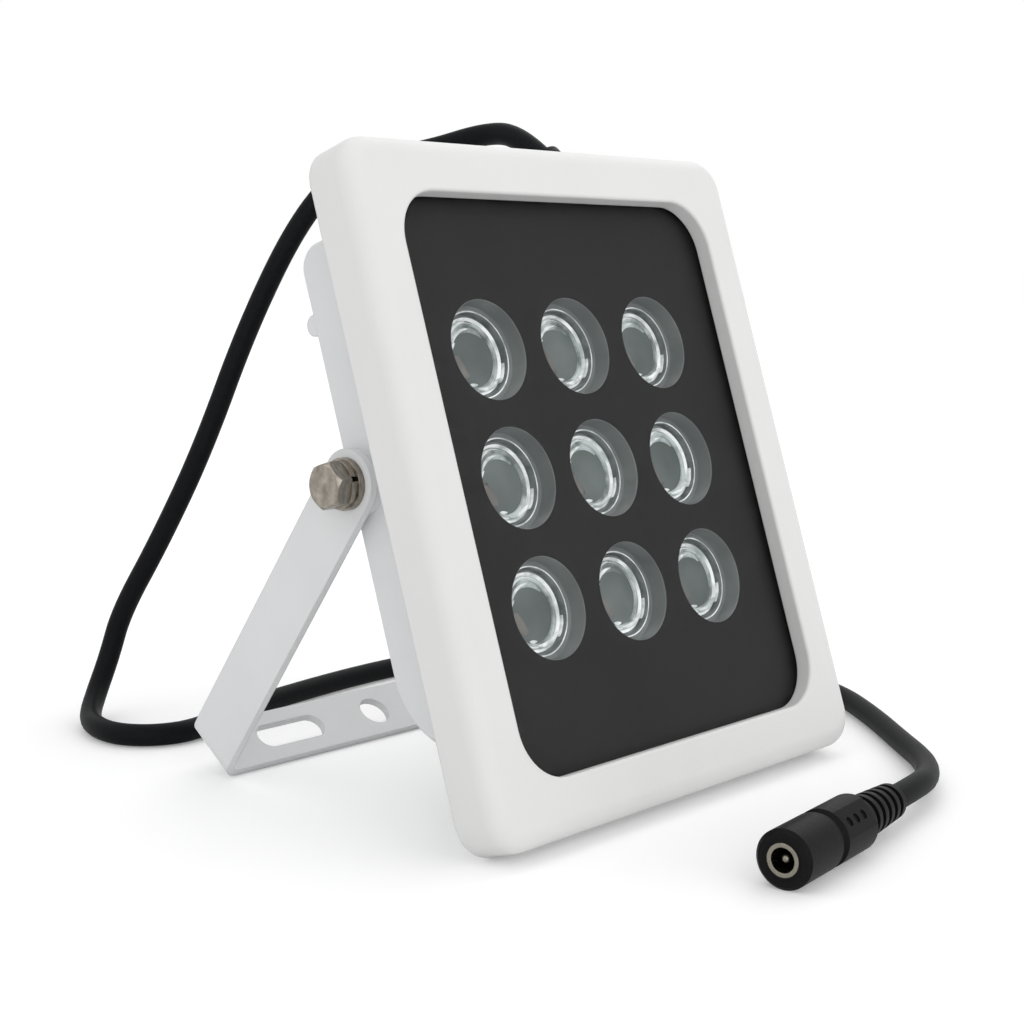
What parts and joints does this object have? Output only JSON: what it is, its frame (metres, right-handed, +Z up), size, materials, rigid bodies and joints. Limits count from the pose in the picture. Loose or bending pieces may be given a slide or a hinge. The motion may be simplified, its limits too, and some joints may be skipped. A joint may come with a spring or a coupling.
{
  "type": "infrared illuminator",
  "caption": "Infrared floodlight: white cast housing with a grid of moulded lenses behind glass, on a folded U bracket, with a black cord ending in a round power socket.",
  "frame": {"origin": "on the floor, under the centre of the head and bracket's bounding box", "axes": "front faces -Y and leans back, +Z up, pivot axis along X"},
  "size_m": [0.1952, 0.2389, 0.168],
  "materials": {
    "bezel_paint": "white powder coat, satin",
    "housing_paint": "white powder coat, satin",
    "bracket_paint": "white powder coat, satin",
    "clear_glass": "clear tempered glass",
    "black_plate": "matt black",
    "lens_plastic": "clear moulded, seen dark",
    "emitter": "dark package with clear dome",
    "board_metal": "plain",
    "circuit_board": "solder resist",
    "coil_core": "ferrite, dull",
    "capacitor_can": "sleeved can",
    "seal_rubber": "matt",
    "screw_steel": "bright steel",
    "bolt_steel": "zinc plated",
    "cord_rubber": "soft black sheath",
    "relief_rubber": "soft black moulding",
    "socket_moulding": "satin black moulding",
    "socket_plastic": "matt black",
    "socket_metal": "nickel plated"
  },
  "bodies": {
    "head": {"front_bezel": "bezel_paint", "glass_seal": "seal_rubber", "window_glass": "clear_glass", "lens_plate": "black_plate", "led_board": "board_metal", "board_screws": "screw_steel", "housing_gasket": "seal_rubber", "rear_housing": "housing_paint", "bezel_screws": "screw_steel", "driver_board": "circuit_board", "driver_inductor": "coil_core", "driver_capacitor": "capacitor_can", "driver_screws": "screw_steel", "cover_seal": "seal_rubber", "driver_cover": "housing_paint", "cover_screws": "screw_steel", "strain_relief": "relief_rubber", "left_bolt": "bolt_steel", "right_bolt": "bolt_steel", "left_spring_washer": "bolt_steel", "right_spring_washer": "bolt_steel", "left_flat_washer": "bolt_steel", "right_flat_washer": "bolt_steel", "power_cord": "cord_rubber", "jack_body": "socket_moulding", "jack_insulator": "socket_plastic", "jack_sleeve": "socket_metal", "jack_pin": "socket_metal", "lens_1": "lens_plastic", "led_1": "emitter", "lens_2": "lens_plastic", "led_2": "emitter", "lens_3": "lens_plastic", "led_3": "emitter", "lens_4": "lens_plastic", "led_4": "emitter", "lens_5": "lens_plastic", "led_5": "emitter", "lens_6": "lens_plastic", "led_6": "emitter", "lens_7": "lens_plastic", "led_7": "emitter", "lens_8": "lens_plastic", "led_8": "emitter", "lens_9": "lens_plastic", "led_9": "emitter"},
    "bracket": {"mounting_bracket": "bracket_paint"}
  },
  "joints": [
    {"name": "bracket_tilt", "type": "hinge", "parent": "head", "child": "bracket", "pos_m": [0, -0.0029, 0.07901], "axis": [1, 0, 0], "range_deg": [-55, 90]}
  ]
}
